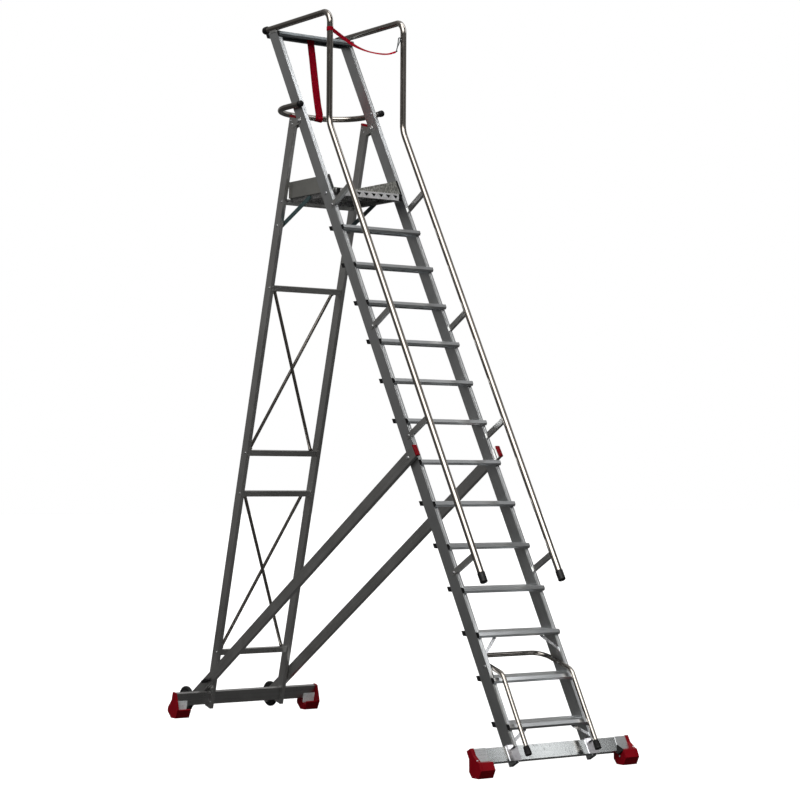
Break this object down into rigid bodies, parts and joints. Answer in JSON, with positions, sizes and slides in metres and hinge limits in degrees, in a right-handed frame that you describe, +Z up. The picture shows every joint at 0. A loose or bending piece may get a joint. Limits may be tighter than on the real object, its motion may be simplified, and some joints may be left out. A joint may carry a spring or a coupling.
{
  "type": "mobile ladder stand",
  "caption": "Steep aluminium step flight with handrails, a guarded platform, a folding braced rear frame, wheel struts and a lift handle.",
  "frame": {"origin": "centre of the footprint on the floor the four feet stand on", "axes": "+X to the climber's right, +Y from the foot of the flight towards the rear frame, +Z up"},
  "size_m": [1.092, 3.6166, 4.425],
  "materials": {
    "extruded_aluminium": "mill finish, extruded",
    "polished_tube": "polished stainless tube",
    "dark_steel": "dark satin",
    "zinc_steel": "zinc plated",
    "red_plastic": "moulded, semi gloss",
    "black_plastic": "moulded, fine grain",
    "black_rubber": "matt",
    "red_webbing": "woven webbing"
  },
  "bodies": {
    "flight": {"stile_left": "extruded_aluminium", "stile_right": "extruded_aluminium", "tread_01": "extruded_aluminium", "tread_02": "extruded_aluminium", "tread_03": "extruded_aluminium", "tread_04": "extruded_aluminium", "tread_05": "extruded_aluminium", "tread_06": "extruded_aluminium", "tread_07": "extruded_aluminium", "tread_08": "extruded_aluminium", "tread_09": "extruded_aluminium", "tread_10": "extruded_aluminium", "tread_11": "extruded_aluminium", "tread_12": "extruded_aluminium", "tread_13": "extruded_aluminium", "top_crossbar": "extruded_aluminium", "tread_end_caps": "black_plastic", "tread_braces": "zinc_steel", "front_base_bar": "extruded_aluminium", "front_bar_sleeves": "extruded_aluminium", "front_saddles": "extruded_aluminium", "front_feet": "red_plastic", "handrail_left": "polished_tube", "handrail_right": "polished_tube", "handrail_brackets": "extruded_aluminium", "rail_end_caps": "black_plastic", "mid_rail": "polished_tube", "entry_strap": "red_webbing", "strap_loop": "red_webbing", "strap_hook": "zinc_steel", "vertical_strap": "red_webbing", "flight_bolts": "zinc_steel"},
    "rear_frame": {"leg_left": "extruded_aluminium", "leg_right": "extruded_aluminium", "leg_caps": "red_plastic", "cross_bars": "extruded_aluminium", "x_braces": "polished_tube", "rear_base_bar": "extruded_aluminium", "rear_bar_plates": "extruded_aluminium", "rear_feet": "red_plastic", "hinge_plates": "extruded_aluminium", "rear_bolts": "zinc_steel"},
    "platform": {"platform_deck": "extruded_aluminium", "toe_boards_side": "extruded_aluminium", "toe_board_rear": "extruded_aluminium", "platform_end_caps": "black_plastic"},
    "stay_l": {"stay_left": "dark_steel"},
    "stay_r": {"stay_right": "dark_steel"},
    "strut_l": {"strut_left": "extruded_aluminium", "strut_cap_left": "red_plastic", "wheel_axle_left": "zinc_steel"},
    "strut_r": {"strut_right": "extruded_aluminium", "strut_cap_right": "red_plastic", "wheel_axle_right": "zinc_steel"},
    "wheel_l": {"wheel_left": "black_rubber"},
    "wheel_r": {"wheel_right": "black_rubber"},
    "knob_l": {"wing_knob_left": "black_plastic"},
    "knob_r": {"wing_knob_right": "black_plastic"},
    "handle": {"lift_handle": "polished_tube", "handle_grips": "black_rubber"}
  },
  "joints": [
    {"name": "rear_frame_fold", "type": "hinge", "parent": "flight", "child": "rear_frame", "pos_m": [0, 0.46427, 3.77], "axis": [1, 0, 0], "range_deg": [-44, 0]},
    {"name": "platform_tilt", "type": "hinge", "parent": "flight", "child": "platform", "pos_m": [0, 0.15127, 3.285], "axis": [1, 0, 0], "range_deg": [0, 60.1]},
    {"name": "left_stay_pivot", "type": "hinge", "parent": "rear_frame", "child": "stay_l", "pos_m": [-0.2455, 0.70727, 3.14], "axis": [1, 0, 0], "range_deg": [-33, 0]},
    {"name": "right_stay_pivot", "type": "hinge", "parent": "rear_frame", "child": "stay_r", "pos_m": [0.2455, 0.70727, 3.14], "axis": [1, 0, 0], "range_deg": [-33, 0]},
    {"name": "left_strut_pivot", "type": "hinge", "parent": "flight", "child": "strut_l", "pos_m": [-0.2965, -0.76472, 1.678], "axis": [1, 0, 0], "range_deg": [0, 75]},
    {"name": "right_strut_pivot", "type": "hinge", "parent": "flight", "child": "strut_r", "pos_m": [0.2965, -0.76472, 1.678], "axis": [1, 0, 0], "range_deg": [0, 75]},
    {"name": "left_wheel_spin", "type": "hinge", "parent": "strut_l", "child": "wheel_l", "pos_m": [-0.3245, 1.72428, 0.093], "axis": [1, 0, 0], "continuous": true},
    {"name": "right_wheel_spin", "type": "hinge", "parent": "strut_r", "child": "wheel_r", "pos_m": [0.3245, 1.72428, 0.093], "axis": [1, 0, 0], "continuous": true},
    {"name": "left_knob_turn", "type": "hinge", "parent": "strut_l", "child": "knob_l", "pos_m": [-0.315, 1.47578, 0.233], "axis": [1, 0, 0], "range_deg": [0, 360]},
    {"name": "right_knob_turn", "type": "hinge", "parent": "strut_r", "child": "knob_r", "pos_m": [0.315, 1.47578, 0.233], "axis": [1, 0, 0], "range_deg": [-360, 0]},
    {"name": "lift_handle_swing", "type": "hinge", "parent": "flight", "child": "handle", "pos_m": [0, -1.45772, 0.5475], "axis": [1, 0, 0], "range_deg": [-36, 0]}
  ],
  "couplings": [
    {"joint": "platform_tilt", "follows": "rear_frame_fold", "ratio": -1.364},
    {"joint": "left_stay_pivot", "follows": "rear_frame_fold", "ratio": 0.748},
    {"joint": "right_stay_pivot", "follows": "rear_frame_fold", "ratio": 0.748}
  ]
}
